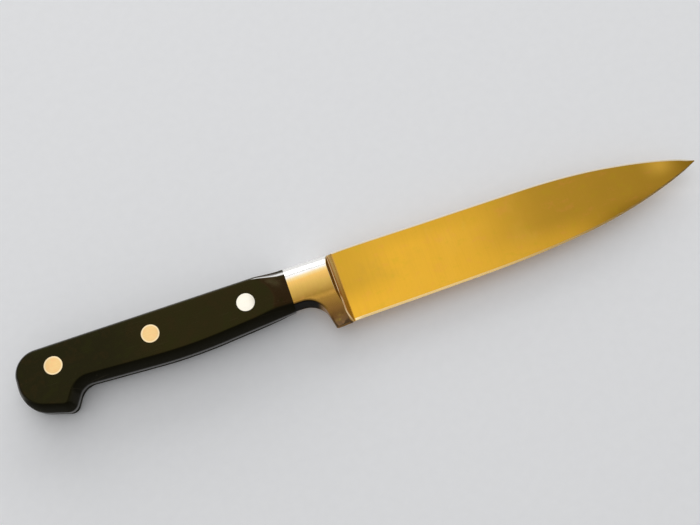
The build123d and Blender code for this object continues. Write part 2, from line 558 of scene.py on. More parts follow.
def bolster_side(y):
    """Half the bolster's thickness at a height: round on top, then thinning to the guard."""
    top_centre = spine_rise - bolster_top_round
    if y > top_centre:
        share = min(1.0, (y - top_centre) / bolster_top_round)
        return bolster_half * math.sqrt(1 - share * share)
    fallen = (-shoulder_drop - y) / (guard_drop - shoulder_drop)
    if fallen <= 0:
        return bolster_half
    # The fall is a cubic of the way along the curve, and the way is found by halving
    low, high = 0.0, 1.0
    for _ in range(side_halvings):
        middle = (low + high) / 2
        if 1.5 * middle * (1 - middle) + middle**3 < fallen:
            low = middle
        else:
            high = middle
    return blend(bolster_half, guard_half, smooth_step(low))


def front_slope():
    """How far the steep front runs forward for each millimetre that it falls."""
    return math.tan(math.radians(front_slope_angle))


def front_edge(y):
    """Where the bolster's side breaks off into its front."""
    ridge, side, floor = ridge_line(y), bolster_side(y), plunge_floor(y)
    if side >= ridge_half:
        return ridge - (side - ridge_half) * front_slope()
    share = min(1.0, (ridge_half - side) / (ridge_half - floor))
    return ridge + plunge_run * (1 - math.sqrt(1 - share * share))


def front_height(x, y):
    """The height of the bolster's front: steep down to the ridge, then hollow to the blade."""
    ridge, floor = ridge_line(y), plunge_floor(y)
    ahead = x - ridge
    if ahead <= 0:
        crest = bolster_side(y)
        start = (crest - ridge_half) * front_slope()
        if start <= ridge_land:
            return ridge_half - ahead / front_slope()
        steep = blend(ridge_half + ridge_rise, crest, (-ahead - ridge_land) / (start - ridge_land))
        return max(steep, ridge_half + ridge_rise * min(1.0, -ahead / ridge_land))
    left = 1 - min(1.0, ahead / plunge_run)
    return ridge_half - (ridge_half - floor) * math.sqrt(1 - left * left)


def spine_line(x):
    """The top of the forging: level over the bolster, then up a little and along the blade."""
    share = (x - bolster_length) / blade_length
    blade_top = follow(blade_station_shares, share, 1) * blade_height - edge_drop
    return blade_top if share > 0 else spine_rise


def notch():
    """Centre of the finger hollow's arc, and the directions of the two lines that it joins."""
    foot = Vector((bolster_length - guard_foot_length, -guard_drop))
    corner = Vector((foot.x - guard_rear_lean, -neck_drop))
    down = (foot - corner).normalized()
    turn = math.acos(down.x) / 2
    reach = guard_radius * math.tan(turn)
    centre = corner + Vector((-reach, -guard_radius))
    return foot, corner, down, reach, centre


notch_foot, notch_corner, notch_down, notch_reach, notch_centre = notch()
notch_end = notch_corner + notch_down * notch_reach


def notch_depth(x, y):
    """How far a point of the steel lies from the finger hollow and the guard's rear."""
    if x <= notch_corner.x - notch_reach:
        return y + neck_drop
    spot = Vector((x, y)) - notch_centre
    beside = (Vector((x, y)) - notch_corner).dot(Vector((-notch_down.y, notch_down.x)))
    along = (Vector((x, y)) - notch_end).dot(notch_down)
    if along > 0 or (spot.x < 0 and spot.y < 0):
        return beside
    return spot.length - guard_radius


def foot_line(x):
    """The bottom of the forging: neck, finger hollow, guard and cutting edge."""
    arc_start = notch_corner.x - notch_reach
    if x <= arc_start:
        return -neck_drop
    if x <= notch_end.x:
        return notch_centre.y + math.sqrt(guard_radius**2 - (x - notch_centre.x) ** 2)
    if x <= notch_foot.x:
        share = (x - notch_end.x) / (notch_foot.x - notch_end.x)
        return blend(notch_end.y, notch_foot.y, share)
    share = (x - bolster_length) / blade_length
    edge = follow(blade_station_shares, share, 2) * blade_height - edge_drop
    started = (x - bolster_length - foot_step_start) / foot_step_run
    return blend(-guard_drop, edge, smooth_step(started))


def bolster_width(x, y):
    """Half the bolster's thickness, with its rear edges and the guard's foot rounded off."""
    lost = 0.0
    if x < notch_foot.x + guard_edge_radius:
        lost = guard_edge_radius * quarter(notch_depth(x, y) / guard_edge_radius)
    if x > notch_foot.x:
        forward = smooth_step((x - guard_front_start) / (bolster_length - guard_front_start))
        high = blend(guard_foot_round, guard_front_round, forward)
        deep = blend(guard_foot_round, guard_half, forward)
        lost = max(lost, deep * quarter((y + guard_drop) / high))
    return max(0.0, bolster_side(y) - lost)


def crown_height(top, foot):
    """How far down the spine's easing reaches on the blade."""
    return min(spine_ease_height, spine_ease_share * (top - foot))


def blade_width(x, y):
    """Half the blade's thickness: a wedge from the spine, then the cutting bevel."""
    share = (x - bolster_length) / blade_length
    top, foot = spine_line(x), foot_line(x)
    left = follow(blade_station_shares, share, 3)
    bevel = follow(blade_station_shares, share, 4)
    shoulder = foot + bevel_height * bevel
    half_spine = spine_half * left
    half_shoulder = shoulder_half * min(bevel, left)
    if y < shoulder:
        half_edge = edge_half * min(1.0, edge_lag * bevel)
        return blend(half_edge, half_shoulder, (y - foot) / (shoulder - foot))
    rise = min(1.0, (y - shoulder) / (top - shoulder))
    width = blend(half_shoulder, half_spine, rise)
    return width - spine_ease * left * quarter((top - y) / crown_height(top, foot))


def forging_width(x, y):
    """Half the forging's thickness anywhere ahead of the tang."""
    block = bolster_width(x, y)
    if x < front_edge(y) - front_reach:
        return block
    beyond = x - ridge_line(y) - plunge_run
    if beyond > plunge_fade:
        return blade_width(x, y)
    front = front_height(x, y) - spine_ease * smooth_step(beyond / plunge_fade)
    lower = smooth_step((lower_ease_start - y) / lower_ease_run)
    ease = blend(edge_ease, lower_edge_ease, lower) * min(1.0, block)
    near = max(0.0, ease - abs(block - front)) / ease if ease else 0.0
    return max(blade_width(x, y), min(block, front) - near * near * ease / 4)


def forging_stations():
    """Places along the forging, each a rule for x at a height, with how far it is ahead."""
    stations = []

    def upright(x):
        stations.append((lambda y: x, x - bolster_length))

    def between(start, end, share, ahead):
        stations.append((lambda y: blend(start(y), end(y), share), ahead))

    def guard_foot(_):
        return notch_foot.x

    def gap(y):
        return front_edge(y) - front_gap

    def ridge(y):
        return max(front_edge(y), ridge_line(y))

    def land(y):
        return max(front_edge(y), ridge_line(y) - ridge_land)

    def run_out(y):
        return ridge_line(y) + plunge_run

    arc_start = notch_corner.x - notch_reach
    for step in range(int((arc_start - neck_spacing / 2) / neck_spacing) + 1):
        upright(neck_spacing * step)
    arc_end = math.atan2(notch_end.y - notch_centre.y, notch_end.x - notch_centre.x)
    for step in range(hollow_steps + 1):
        angle = blend(math.pi / 2, arc_end, step / hollow_steps)
        upright(notch_centre.x + guard_radius * math.cos(angle))
    for step in range(guard_steps):
        upright(blend(notch_end.x, notch_foot.x, (step + 1) / guard_steps))
    for step in range(lower_steps):
        between(guard_foot, gap, (step + 1) / lower_steps, behind_front)
    for share in gap_shares:
        between(gap, front_edge, share, near_front)
    for share in slope_shares:
        between(front_edge, land, share, on_slope)
    for share in land_shares:
        between(land, ridge, share, on_land)
    for step in range(plunge_steps):
        share = 1 - math.cos(math.pi / 2 * (step + 1) / plunge_steps)
        between(ridge, run_out, share, share * plunge_run)
    start, tip = bolster_length + plunge_run, bolster_length + blade_length
    for step in range(blade_steps):
        share = (step + 1) / blade_steps
        x = blend(start, tip, share * (1 + blade_crowding - blade_crowding * share))
        lean = front_lean * (1 - smooth_step((x - start) / lean_run))
        stations.append(
            (lambda y, x=x, lean=lean: x - lean * (1 - down_share(y)), x - bolster_length)
        )
    return stations


def row_heights(top, foot, crown, base):
    """The heights of a station's points: they crowd over the crown and about the foot."""
    heights = []
    for row in range(crown_rows):
        heights.append(top - crown * (1 - math.cos(math.pi / 2 * row / crown_rows)))
    for row in range(side_rows):
        heights.append(blend(top - crown, foot + base, row / side_rows))
    for row in range(foot_rows + 1):
        angle = math.pi / 2 * (1 - row / foot_rows)
        heights.append(foot + base * (1 - math.cos(angle)))
    return heights


def row_finish(row, behind, ahead):
    """The finish of a face in a row, between two stations that lie so far ahead of the heel."""
    if behind <= plunge_run - border_reach:
        return polished if ahead <= behind_front else shaped
    if row < crown_rows:
        return polished
    return bevelled if row >= crown_rows + side_rows else ground


def forging_mesh():
    """Points and faces of the blade, plunge, guard and bolster, as one closed skin."""
    points, rings, places = [], [], []
    for rule, ahead in forging_stations():
        top, foot = spine_rise, -guard_drop
        # A leaning station's place depends on the height, so both are settled together
        for _ in range(settling_rounds):
            top = spine_line(rule(top))
            foot = foot_line(rule(foot))
        in_blade = smooth_step(ahead / plunge_run)
        bevel = follow(blade_station_shares, ahead / blade_length, 4)
        crown = blend(bolster_top_round, crown_height(top, foot), in_blade)
        forward = smooth_step((rule(foot) - guard_front_start) / (bolster_length - guard_front_start))
        round_high = blend(guard_foot_round, guard_front_round, forward)
        if rule(foot) < notch_foot.x:
            round_high = guard_edge_radius
        base = blend(round_high, bevel_height * bevel, in_blade)
        right = []
        for y in row_heights(top, foot, crown, base):
            x = rule(y)
            right.append((x, y, forging_width(x, y)))
        loop = right + mirrored(right)[::-1]
        rings.append(range(len(points), len(points) + len(loop)))
        points += loop
        places.append(ahead)
    faces = []
    last_row = crown_rows + side_rows + foot_rows
    for place, (lower, upper) in enumerate(zip(rings, rings[1:])):
        for face, _ in ring_faces([lower, upper]):
            row = (face[0] - lower[0]) % (2 * last_row + 2)
            row = min(row, 2 * last_row - row)
            faces.append((face, row_finish(row, places[place], places[place + 1])))
    faces.append((tuple(rings[0]), polished))
    faces.append((tuple(reversed(rings[-1])), bevelled))
    return points, faces


def tang_mesh():
    """Points and faces of the full tang, a plate that follows the handle's outline."""
    chain = handle_chain()
    bend = tang_round * rim_bend_share
    points, rings = [], []
    for inset, height in (
        (tang_round, -tang_half),
        (bend, -tang_half + bend),
        (0.0, -tang_half + tang_round),
        (0.0, tang_half - tang_round),
        (bend, tang_half - bend),
        (tang_round, tang_half),
    ):
        ring = []
        for spot, inward in chain:
            place = spot + inward * inset
            x = place.x if place.x < -border_reach else tang_embed
            ring.append(len(points))
            points.append((x, place.y, height))
        rings.append(ring)
    faces = ring_faces(rings)
    for setback in rivet_setbacks.values():
        faces += bore(points, setback, ((shank_bore, -tang_half), (shank_bore, tang_half)))
    for ring, height in ((rings[0], -tang_half), (rings[-1], tang_half)):
        outline = [points[i][:2] for i in ring]
        verts, triangles = filled(outline, bore_circles(shank_bore), 0)
        start = len(points)
        points += [(vert.x, vert.y, height) for vert in verts]
        faces += [(tuple(start + i for i in triangle), 0) for triangle in triangles]
    return points, faces


class Signal:
    """A shader socket that Python's operators work on."""

    def __init__(self, finish, socket):
        self.finish = finish
        self.socket = socket

    def math(self, operation, *others):
        """One Math node on this signal and the others."""
        values = dict(enumerate((self, *others)))
        return self.finish.node("ShaderNodeMath", {"operation": operation}, values)

    def __add__(self, other):
        return self.math("ADD", other)

    __radd__ = __add__

    def __mul__(self, other):
        return self.math("MULTIPLY", other)

    __rmul__ = __mul__

    def __sub__(self, other):
        return self.math("SUBTRACT", other)

    def __rsub__(self, other):
        return (self * -1) + other

    def __truediv__(self, other):
        return self.math("DIVIDE", other)

    def __pow__(self, other):
        return self.math("POWER", other)

    def __abs__(self):
        return self.math("ABSOLUTE")

    def above(self, edge, width):
        """A soft mask that is 0 under the edge, and 1 once the signal is its width over it."""
        values = {0: self, 1: edge, 2: edge + width, 3: 0.0, 4: 1.0}
        kind = {"interpolation_type": "SMOOTHSTEP", "clamp": True}
        return self.finish.node("ShaderNodeMapRange", kind, values)

    def under(self, edge, width):
        """A soft mask that is 0 over the edge, and 1 once the signal is its width under it."""
        return (edge - self).above(0.0, width)


class Finish:
    """A material whose shader is written as expressions."""

    def __init__(self, name):
        self.material = bpy.data.materials.new(name)
        self.material.use_nodes = True
        self.tree = self.material.node_tree
        self.shader = self.tree.nodes["Principled BSDF"]

    def node(self, kind, settings=None, values=None, output=0):
        """One node of that type, set up and fed, and one of its outputs."""
        made = self.tree.nodes.new(kind)
        for name, setting in (settings or {}).items():
            if name == "stops":
                fill_ramp(made.color_ramp, setting)
            else:
                setattr(made, name, setting)
        for key, value in (values or {}).items():
            self.feed(made.inputs[key], value)
        return Signal(self, made.outputs[output])

    def feed(self, socket, value):
        """Links a signal to a socket, or sets the socket to a value."""
        if isinstance(value, Signal):
            self.tree.links.new(value.socket, socket)
        elif isinstance(value, tuple) and len(value) == 3 and len(socket.default_value) == 4:
            socket.default_value = (*value, 1.0)
        else:
            socket.default_value = value

    def place(self):
        """The point on the piece, in metres in the knife's own frame."""
        return self.node("ShaderNodeTexCoord", output="Object")

    def facing(self):
        """The direction that the surface faces, in the knife's own frame."""
        return self.node("ShaderNodeTexCoord", output="Normal")

    def parts(self, vector):
        """The three numbers of a vector."""
        split = self.node("ShaderNodeSeparateXYZ", values={0: vector})
        node = split.socket.node
        return [Signal(self, node.outputs[axis]) for axis in range(3)]

    def scaled(self, vector, factors, spin=0.0):
        """A vector with its axes stretched, and turned about Z."""
        values = {"Vector": vector, "Scale": factors, "Rotation": (0.0, 0.0, math.radians(spin))}
        return self.node("ShaderNodeMapping", {"vector_type": "POINT"}, values)

    def noise(self, vector, scale, detail, roughness):
        """Soft noise from 0 to 1."""
        values = {"Vector": vector, "Scale": scale, "Detail": detail, "Roughness": roughness}
        return self.node("ShaderNodeTexNoise", values=values)

    def streaks(self, vector, stretch, detail, roughness, spin=0.0):
        """Noise drawn out into lines: they run along the axis that is stretched least."""
        return self.noise(self.scaled(vector, stretch, spin), 1.0, detail, roughness)

    def mix(self, factor, low, high):
        """A colour between two colours."""
        settings = {"data_type": "RGBA", "clamp_factor": True}
        values = {0: factor, 6: low, 7: high}
        return self.node("ShaderNodeMix", settings, values, output=2)

    def layered(self, base, layers):
        """A colour with others laid over it in turn, each by its own mask."""
        for mask, tone in layers:
            base = self.mix(mask, base, tone)
        return base

    def ramp(self, factor, stops):
        """A colour from a ramp of places and colours."""
        return self.node("ShaderNodeValToRGB", {"stops": stops}, {0: factor})

    def bump(self, height, strength):
        """Small relief, as a normal for the shader."""
        values = {"Strength": strength, "Distance": relief_depth * MM, "Height": height}
        return self.node("ShaderNodeBump", values=values)

    def wear(self, **sockets):
        """Feeds the shader's own sockets, and gives the finished material."""
        for name, value in sockets.items():
            self.feed(self.shader.inputs[name.replace("_", " ")], value)
        return self.material


def fill_ramp(ramp, stops):
    """Sets a colour ramp's stops."""
    while len(ramp.elements) < len(stops):
        ramp.elements.new(0.5)
    for element, (place, tone) in zip(ramp.elements, stops):
        element.position = place
        element.color = (*tone, 1.0)


def colour(red, green, blue):
    """A colour as the eye reads it, from 0 to 255, in the shader's own light."""
    def linear(value):
        share = value / 255
        return share / 12.92 if share <= 0.04045 else ((share + 0.055) / 1.055) ** 2.4

    return (linear(red), linear(green), linear(blue))


joint_x = datum.x
rivet_y = datum.y
heel_x = joint_x + bolster_length * MM
steel_z = datum.z

# How deep the grinding lines, scratches and the plastic's grain go, in millimetres
relief_depth = 0.02

# The blade's golds, from the heel half to the tip, then what clouds, dulls and blushes them. The gold
# stands in for the warm reflection that the steel shows, and its changes over the blade are painted
# reflection and shade
bright_gold = colour(237, 181, 56)
heel_gold = colour(212, 163, 50)
dull_gold = colour(198, 151, 48)
shadow_gold = colour(86, 58, 4)
gleam_gold = colour(244, 192, 74)
tip_shade_gold = colour(132, 94, 14)
worn_gold = colour(186, 148, 66)
clouded_gold = colour(240, 190, 84)
ground_brown = colour(160, 118, 38)
blade_rose = colour(236, 150, 84)
blade_green = colour(196, 172, 30)
hazed_gold = colour(250, 214, 130)
# A painted highlight where the blade's flats turn up to the spine
spine_sheen = colour(206, 190, 152)

# The cutting bevel's colour along the blade, a painted reflection that is pale at the heel and dims
# towards the tip, and the lines that the stone left in it
bevel_reflection_tones = [
    (0.00, colour(255, 232, 180)),
    (0.06, colour(252, 220, 156)),
    (0.40, colour(240, 204, 134)),
    (0.60, colour(218, 180, 108)),
    (0.78, colour(180, 144, 74)),
    (1.00, colour(136, 104, 44)),
]
stone_gold = colour(250, 226, 170)

# The hollow plunge's colour from the ridge forward, as shares of its run, high up and low down:
# painted reflections of the hollow's curve
hollow_upper_reflections = [
    (0.00, colour(255, 238, 196)),
    (0.15, colour(240, 206, 150)),
    (0.45, colour(226, 186, 110)),
    (0.75, colour(218, 167, 81)),
    (1.00, colour(190, 145, 68)),
]
hollow_lower_reflections = [
    (0.00, colour(214, 166, 104)),
    (0.25, colour(201, 152, 70)),
    (0.50, colour(188, 130, 38)),
    (0.75, colour(180, 120, 25)),
    (1.00, colour(212, 160, 58)),
]

# The bolster's colour at these heights over the rivets, in millimetres: painted reflections, brown at
# the guard's foot, gold up the side and a white highlight on top
bolster_reflection_tones = [
    (-15.6, colour(98, 78, 58)),
    (-12.5, colour(112, 80, 45)),
    (-9.5, colour(186, 135, 68)),
    (-6.5, colour(216, 164, 74)),
    (-4.0, colour(162, 124, 52)),
    (0.0, colour(214, 174, 88)),
    (2.3, colour(242, 194, 108)),
    (3.3, colour(246, 220, 160)),
    (4.2, colour(255, 255, 255)),
]
# How much lower the painted white highlight on top of the bolster reaches at its rear than at its
# front
highlight_lean = 0.4
bolster_cloud = colour(226, 184, 104)
bolster_rose = colour(226, 150, 92)
bolster_green = colour(206, 190, 60)
# Painted light: the white highlight on the bolster's top, painted shade where the steel faces down, a
# painted glow at the guard's foot, and a pale painted highlight on the spine's rounding
white_highlight = colour(246, 245, 242)
shaded_steel = colour(24, 22, 20)
foot_glow = colour(150, 116, 66)
spine_highlight = colour(226, 214, 186)
brushed_brown = colour(150, 118, 66)

# The bolster's front, in painted light: the ridge's pale line is a painted highlight, the steep face
# painted shade, and its upper crease and its top end painted highlights
highlight_high = colour(232, 196, 142)
highlight_middle = colour(255, 228, 180)
highlight_foot = colour(206, 168, 106)
steep_shade = colour(126, 90, 42)
crease_highlight = colour(255, 232, 178)
top_highlight = colour(196, 186, 158)

# The tang's edge: its dark steel is painted shade, and its bright middle a painted highlight
tang_dark = colour(50, 49, 47)
tang_pale = colour(74, 72, 68)
tang_highlight = colour(150, 147, 142)
tang_grime = colour(120, 112, 100)

# The scales' blacks, lighter towards the grip, whose brown is a painted warm reflection; a painted
# reflection on the nose's taper and painted shade on the belly; the tint of their gloss, a painted
# warm reflection; and the shine of the nose's shoulder
butt_black = colour(8, 7, 4)
grip_black = colour(28, 22, 6)
nose_taper_reflection = colour(42, 25, 12)
green_black = colour(22, 28, 2)
brown_black = colour(38, 20, 8)
belly_shade = colour(2, 2, 3)
speck_grey = colour(96, 88, 74)
scratch_grey = colour(84, 76, 62)
warm_reflection_tint = (0.80, 0.70, 0.25)
nose_coat_ior = 4.0

# The rivets: the two warm ones, the white front one, and the dark gap round each head. The warm and
# the white are painted reflections, and the cream ring inside each rim a painted highlight
warm_dull = colour(236, 196, 128)
warm_pale = colour(252, 216, 156)
warm_rose = colour(248, 192, 132)
rim_highlight = colour(255, 230, 184)
white_dull = colour(255, 246, 222)
white_pale = colour(255, 253, 246)
gap_dark = colour(46, 36, 20)

# The floor's paper
paper_dull = colour(240, 241, 243)
paper_pale = colour(245, 246, 248)


def blushed(finish, base, blush, share, high, low):
    """A colour with faint blotches: one tone where the noise is high, one where it is low."""
    return finish.layered(
        base,
        [(blush.above(0.54, 0.16) * share, high), (blush.under(0.46, 0.16) * share, low)],
    )


def blade_tone(finish, along, across):
    """The blade's gold at shares of its length and height, before its marks and blotches: painted
    reflection that is brighter at the heel and duller ahead, with a painted shadow along the lower
    front, a painted gleam high near the tip and painted shade at the tip.
    """
    above_edge = across.above(0.12, 0.38)
    at_heel = along.under(0.20, 0.18) * above_edge
    by_spine = across.above(0.70, 0.25) * along.under(0.50, 0.2)
    front_half = along.above(0.30, 0.30) * (0.25 + above_edge * 0.75)
    # Painted shadow low on the blade's front half
    lower_shadow = along.above(0.60, 0.26) * across.under(0.50, 0.38)
    # Painted gleam high up near the tip
    upper_gleam = along.above(0.84, 0.08) * across.above(0.50, 0.25) * along.under(0.98, 0.08)
    at_tip = along.above(0.90, 0.10)
    return finish.layered(
        bright_gold,
        [
            (at_heel, heel_gold),
            (by_spine * 0.5, heel_gold),
            (front_half, dull_gold),
            (lower_shadow, shadow_gold),
            (upper_gleam, gleam_gold),
            (at_tip * 0.5, tip_shade_gold),
        ],
    )


def ground_steel():
    """The blade's flat sides: satin steel painted gold for a warm reflection, with fine grinding
    lines across it and a painted highlight where they turn up to the spine.
    """
    finish = Finish("ground_steel")
    place = finish.place()
    x, y, _ = finish.parts(place)
    _, normal_y, _ = finish.parts(finish.facing())
    along = (x - heel_x) / (blade_length * MM)
    across = (y - rivet_y + edge_drop * MM) / (blade_height * MM)
    grind = finish.streaks(place, (2600.0, 60.0, 60.0), detail=4.0, roughness=0.6)
    fine = finish.streaks(place, (9000.0, 160.0, 160.0), detail=2.0, roughness=0.5, spin=3.0)
    cloud = finish.noise(place, scale=62.0, detail=4.0, roughness=0.55)
    haze = finish.noise(
        finish.scaled(place, (1.0, 0.6, 1.0)), scale=150.0, detail=3.0, roughness=0.6
    )
    blush = finish.noise(
        finish.scaled(place, (1.0, 1.6, 1.0), 25.0), scale=210.0, detail=4.0, roughness=0.65
    )
    patch = along.under(0.30, 0.22) * across.above(0.30, 0.20) * across.under(0.85, 0.2)
    # Painted highlight: pale, less metallic cream where the surface turns up to the spine
    eased = normal_y.above(0.05, 0.06)
    base = finish.layered(
        blade_tone(finish, along, across),
        [
            (patch * cloud.above(0.42, 0.3) * 0.5, worn_gold),
            (cloud.above(0.52, 0.3) * 0.18, clouded_gold),
            (grind.above(0.45, 0.3) * 0.06, ground_brown),
        ],
    )
    base = blushed(finish, base, blush, 0.16, blade_rose, blade_green)
    base = finish.layered(base, [(haze.above(0.62, 0.2) * 0.08, hazed_gold), (eased, spine_sheen)])
    return finish.wear(
        Base_Color=base,
        Metallic=1 - eased * 0.8,
        Roughness=0.24 + grind * 0.10 + haze * 0.08 + eased * 0.35,
        Normal=finish.bump(grind * 0.6 + fine * 0.4, 0.10),
    )


def whetted_steel():
    """The cutting bevels: paler and brighter by a painted reflection that dims towards the tip, with
    lines from the stone along the edge.
    """
    finish = Finish("whetted_steel")
    place = finish.place()
    x, _, _ = finish.parts(place)
    along = (x - heel_x) / (blade_length * MM)
    lines = finish.streaks(place, (160.0, 5000.0, 5000.0), detail=3.0, roughness=0.6, spin=2.0)
    base = finish.ramp(along, bevel_reflection_tones)
    return finish.wear(
        Base_Color=finish.mix(lines.above(0.4, 0.3) * 0.25, base, stone_gold),
        Metallic=1.0,
        Roughness=0.18 + lines * 0.16,
        Normal=finish.bump(lines, 0.15),
    )


def bolster_tone(finish, place, normal_y):
    """The bolster's colour by height over the rivets, in painted reflections: a white highlight on
    top, then gold, then brown.
    """
    x, y, _ = finish.parts(place)
    up = (y - rivet_y) / MM
    forward = (x - joint_x) / (bolster_length * MM)
    leaned = up + (0.5 - forward) * up.above(0.0, 2.0) * highlight_lean
    span = spine_rise + guard_drop
    stops = [((height + guard_drop) / span, tone) for height, tone in bolster_reflection_tones]
    cloud = finish.noise(place, scale=240.0, detail=3.0, roughness=0.55)
    blush = finish.noise(place, scale=330.0, detail=4.0, roughness=0.65)
    side = finish.ramp((leaned + guard_drop) / span, stops)
    side = finish.mix(cloud.above(0.45, 0.4) * 0.15, side, bolster_cloud)
    side = blushed(finish, side, blush, 0.14, bolster_rose, bolster_green)
    # A painted white highlight where the bolster turns up to the spine
    return finish.mix(normal_y.above(0.16, 0.08), side, white_highlight)


def polished_steel():
    """Bolster, guard and spine: a painted white highlight towards the spine, then warm gold, and
    painted shade beneath with a painted glow at the guard's foot; the blade's spine takes a pale
    painted highlight.
    """
    finish = Finish("polished_steel")
    place = finish.place()
    x, y, _ = finish.parts(place)
    _, normal_y, _ = finish.parts(finish.facing())
    up = (y - rivet_y) / MM
    ahead = (x - heel_x) / MM
    brush = finish.streaks(place, (3500.0, 90.0, 3500.0), detail=4.0, roughness=0.6)
    # Painted shade where the steel faces down, with a painted glow low on the guard's foot, and a
    # painted highlight on the blade's spine
    beneath = normal_y.under(-0.45, 0.35)
    on_blade = ahead.above(plunge_run * 0.9, 0.1)
    on_top = (1 - on_blade) * normal_y.above(0.5, 0.3)
    base = finish.layered(
        bolster_tone(finish, place, normal_y),
        [
            (beneath, finish.mix(up.under(-12.0, 1.0), shaded_steel, foot_glow)),
            (on_blade, spine_highlight),
            (brush.above(0.4, 0.4) * 0.08, brushed_brown),
        ],
    )
    return finish.wear(
        Base_Color=base,
        Metallic=1 - on_blade * 0.8 - on_top * 0.6,
        Roughness=0.20 + brush * 0.10 + on_blade * 0.35 + beneath * 0.5,
        Normal=finish.bump(brush, 0.08),
    )


def front_steel():
    """The bolster's front: painted shade on the steep face, a painted highlight along the ridge,
    painted reflections in the hollow.
    """
    finish = Finish("front_steel")
    place = finish.place()
    x, y, z = finish.parts(place)
    normal_x, normal_y, _ = finish.parts(finish.facing())
    brush = finish.streaks(place, (300.0, 3500.0, 300.0), detail=4.0, roughness=0.6)
    up = (y - rivet_y) / MM
    down = (spine_rise - up) / (spine_rise + guard_drop)
    ahead = (x - heel_x) / MM + (1 - down) * front_lean
    over_ridge = abs((z - steel_z) / MM) - ridge_half
    hollow = finish.mix(
        down.above(0.1, 0.7),
        finish.ramp(ahead / plunge_run, hollow_upper_reflections),
        finish.ramp(ahead / plunge_run, hollow_lower_reflections),
    )
    # A painted highlight, laid on the front's rim, on the ridge's land and along the lower line
    line = finish.layered(
        highlight_high, [(down.above(0.15, 0.6), highlight_middle), (down.above(0.88, 0.10), highlight_foot)]
    )
    land = abs(over_ridge).under(0.16, 0.06) * down.under(0.60, 0.10)
    rim = over_ridge.above(-0.9, 0.4) * down.under(0.66, 0.08)
    past_line = ahead - down.above(0.80, 0.40) * 2.6 - 0.16
    lower_highlight = abs(past_line).under(0.34, 0.16) * down.above(0.56, 0.12)
    on_block = normal_x.under(0.45, 0.2) * past_line.under(0.25, 0.15)
    crease = normal_x.above(0.08, 0.12) * normal_x.under(0.75, 0.15)
    upper_crease = crease * over_ridge.above(0.2, 0.2) * down.under(0.58, 0.10)
    base = finish.layered(
        hollow,
        [
            (rim, line),
            (over_ridge.above(0.05, 0.12), steep_shade),
            (on_block * (1 - land), bolster_tone(finish, place, normal_y)),
            (land, line),
            (upper_crease, crease_highlight),
            (lower_highlight, line),
            (normal_y.above(0.5, 0.2), top_highlight),
            (brush.above(0.4, 0.4) * 0.08, brushed_brown),
        ],
    )
    on_highlight = (land + lower_highlight).above(0.0, 1.0)
    return finish.wear(
        Base_Color=base,
        Metallic=1 - on_highlight * 0.55 - normal_y.above(0.5, 0.3) * 0.4,
        Roughness=0.22 + brush * 0.10,
        Normal=finish.bump(brush, 0.08),
    )


def tang_steel():
    """The tang's edge between the scales: brushed steel kept dark as painted shade, with a painted
    highlight along its middle.
    """
    finish = Finish("tang_steel")
    place = finish.place()
    _, _, z = finish.parts(place)
    brush = finish.streaks(place, (300.0, 300.0, 6000.0), detail=4.0, roughness=0.6)
    grime = finish.noise(place, scale=320.0, detail=3.0, roughness=0.6)
    from_middle = abs((z - steel_z) / MM)
    # Painted shade in the dark steel, and a painted highlight along the middle
    base = finish.layered(
        finish.mix(brush, tang_dark, tang_pale),
        [(from_middle.under(0.30, 0.2), tang_highlight), (grime.above(0.55, 0.2) * 0.4, tang_grime)],
    )
    return finish.wear(
        Base_Color=base,
        Metallic=1.0,
        Roughness=0.26 + brush * 0.14,
        Normal=finish.bump(brush, 0.12),
    )


def scale_plastic():
    """The scales: polished black plastic with a brown cast that is a painted warm reflection, a
    painted reflection on the nose's taper, painted shade on the belly, specks and fine scratches.
    """
    finish = Finish("scale_plastic")
    place = finish.place()
    x, y, _ = finish.parts(place)
    normal_x, normal_y, _ = finish.parts(finish.facing())
    from_joint = (x - joint_x) / MM
    up = (y - rivet_y) / MM
    mottle = finish.noise(place, scale=420.0, detail=3.0, roughness=0.6)
    tinge = finish.noise(place, scale=260.0, detail=3.0, roughness=0.6)
    speck = finish.noise(place, scale=1500.0, detail=1.0, roughness=0.4)
    grain = finish.noise(place, scale=900.0, detail=2.0, roughness=0.5)
    rising = finish.streaks(place, (60.0, 5200.0, 60.0), detail=2.0, roughness=0.5, spin=24.0)
    falling = finish.streaks(place, (90.0, 4300.0, 90.0), detail=2.0, roughness=0.5, spin=-38.0)
    scratches = rising.above(0.70, 0.05) + falling.above(0.72, 0.05)
    nose = from_joint.above(-11.0, 2.0)
    nose_front = from_joint.above(-9.0, 2.0)
    # The nose's brown is a painted reflection and the belly's black painted shade
    base = finish.layered(
        finish.mix(from_joint.above(-62.0, 22.0), butt_black, grip_black),
        [
            (normal_x.above(0.06, 0.12) * nose_front, nose_taper_reflection),
            (tinge.above(0.52, 0.14) * 0.35, green_black),
            (tinge.under(0.48, 0.14) * 0.35, brown_black),
            (normal_y.under(-0.25, 0.4), belly_shade),
            (speck.above(0.80, 0.03) * 0.4, speck_grey),
            (scratches * 0.25, scratch_grey),
        ],
    )
    shoulder = normal_y.above(0.28, 0.12) * normal_y.under(0.72, 0.12)
    matt = normal_y.under(-0.3, 0.3) + normal_y.above(0.74, 0.1) * nose
    return finish.wear(
        Base_Color=base,
        Roughness=0.22 + mottle * 0.10 + scratches * 0.15 + matt * 0.65,
        Specular_IOR_Level=0.25,
        # A warm tint on the gloss, a painted warm reflection
        Specular_Tint=warm_reflection_tint,
        Coat_Weight=nose * up.above(4.6, 0.8) * shoulder,
        Coat_IOR=nose_coat_ior,
        Normal=finish.bump(grain * 0.5 - scratches * 0.5, 0.10),
    )


